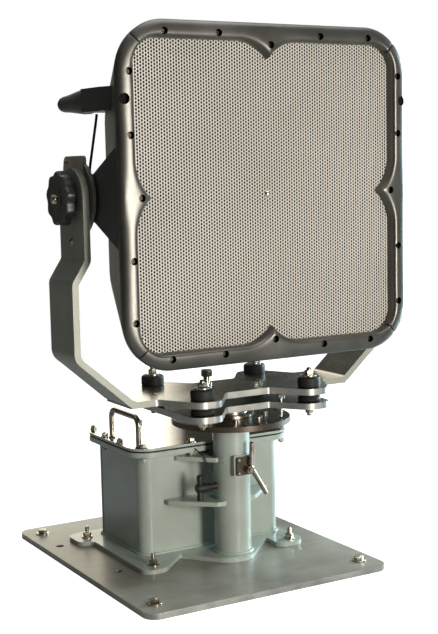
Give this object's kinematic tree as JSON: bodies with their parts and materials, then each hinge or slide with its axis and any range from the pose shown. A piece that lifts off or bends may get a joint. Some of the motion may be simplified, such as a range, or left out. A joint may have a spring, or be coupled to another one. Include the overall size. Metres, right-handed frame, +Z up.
{
  "type": "acoustic hailing device",
  "caption": "Square long-range loudspeaker head on a tilting U-yoke, rubber isolators and an indexed pan column with an electronics box and base plate.",
  "frame": {"origin": "on the pan axis, on the underside of the base plate", "axes": "+Z up along the pan axis, +X along the tilt axis to the object's right pivot, -Y the way the speaker faces"},
  "size_m": [0.836, 0.72, 1.193],
  "materials": {
    "paint": "satin pale blue-grey paint",
    "steel": "brushed stainless",
    "polished": "polished stainless",
    "copper_steel": "copper-washed steel",
    "dark_steel": "oiled dark steel",
    "aluminium": "bead-blasted aluminium",
    "gunmetal": "gunmetal coat",
    "housing": "charcoal powder coat",
    "grille": "warm light grey, perforated",
    "rubber": "matte",
    "plastic": "matte black",
    "module": "matte dark grey",
    "bronze": "dull tan bronze"
  },
  "bodies": {
    "pedestal": {"base_plate": "steel", "base_bolt_1": "steel", "base_bolt_2": "steel", "base_bolt_3": "steel", "base_bolt_4": "steel", "foot_flange": "paint", "foot_stud_1": "steel", "foot_stud_2": "steel", "foot_stud_3": "steel", "foot_stud_4": "steel", "box_body": "paint", "lid_gasket": "rubber", "box_lid": "polished", "lid_handle": "polished", "amplifier_module": "module", "column_tube": "paint", "pan_bearing": "steel", "gusset_lower_left": "paint", "gusset_lower_right": "paint", "gusset_upper_left": "paint", "index_disc": "dark_steel", "clamp_pad": "paint", "clamp_plate": "dark_steel", "tether_cord": "plastic"},
    "turret": {"turntable_plate": "aluminium", "pan_spindle": "steel", "yoke": "aluminium", "friction_plate_left": "bronze", "friction_plate_right": "bronze", "isolator_lower_1": "rubber", "isolator_lower_2": "rubber", "isolator_lower_3": "rubber", "isolator_lower_4": "rubber", "isolator_upper_1": "rubber", "isolator_upper_2": "rubber", "isolator_upper_3": "rubber", "isolator_upper_4": "rubber", "isolator_bolt_1": "steel", "isolator_bolt_2": "steel", "isolator_bolt_3": "steel", "isolator_bolt_4": "steel"},
    "plunger": {"index_plunger": "steel"},
    "pan_lock": {"pan_lock_lever": "copper_steel"},
    "tee": {"tee_handle": "plastic"},
    "head": {"frame_top": "gunmetal", "frame_left": "gunmetal", "frame_bottom": "gunmetal", "frame_right": "gunmetal", "grille": "grille", "driver_array": "module", "rear_housing": "housing", "rear_cover": "housing", "pivot_boss_left": "housing", "pivot_boss_right": "housing", "rear_grip_left": "housing", "rear_grip_right": "housing", "head_cable": "rubber"},
    "knob_left": {"tilt_knob_left": "plastic"},
    "knob_right": {"tilt_knob_right": "plastic"}
  },
  "joints": [
    {"name": "pan", "type": "hinge", "parent": "pedestal", "child": "turret", "pos_m": [0, 0, 0.35], "axis": [0, 0, 1], "range_deg": [-180, 180]},
    {"name": "tilt", "type": "hinge", "parent": "turret", "child": "head", "pos_m": [0, 0, 0.841], "axis": [1, 0, 0], "range_deg": [-35, 35]},
    {"name": "plunger_slide", "type": "slide", "parent": "turret", "child": "plunger", "axis": [0, 0, 1], "range_m": [-0.008, 0]},
    {"name": "pan_lock_turn", "type": "hinge", "parent": "pedestal", "child": "pan_lock", "pos_m": [0.008, -0.066, 0.224], "axis": [0, -1, 0], "range_deg": [-40, 30]},
    {"name": "tee_turn", "type": "hinge", "parent": "pedestal", "child": "tee", "pos_m": [-0.084, 0, 0.18], "axis": [-1, 0, 0], "range_deg": [0, 360]},
    {"name": "knob_left_turn", "type": "hinge", "parent": "head", "child": "knob_left", "pos_m": [-0.39, 0, 0.841], "axis": [-1, 0, 0], "range_deg": [0, 360]},
    {"name": "knob_right_turn", "type": "hinge", "parent": "head", "child": "knob_right", "pos_m": [0.39, 0, 0.841], "axis": [1, 0, 0], "range_deg": [0, 360]}
  ]
}
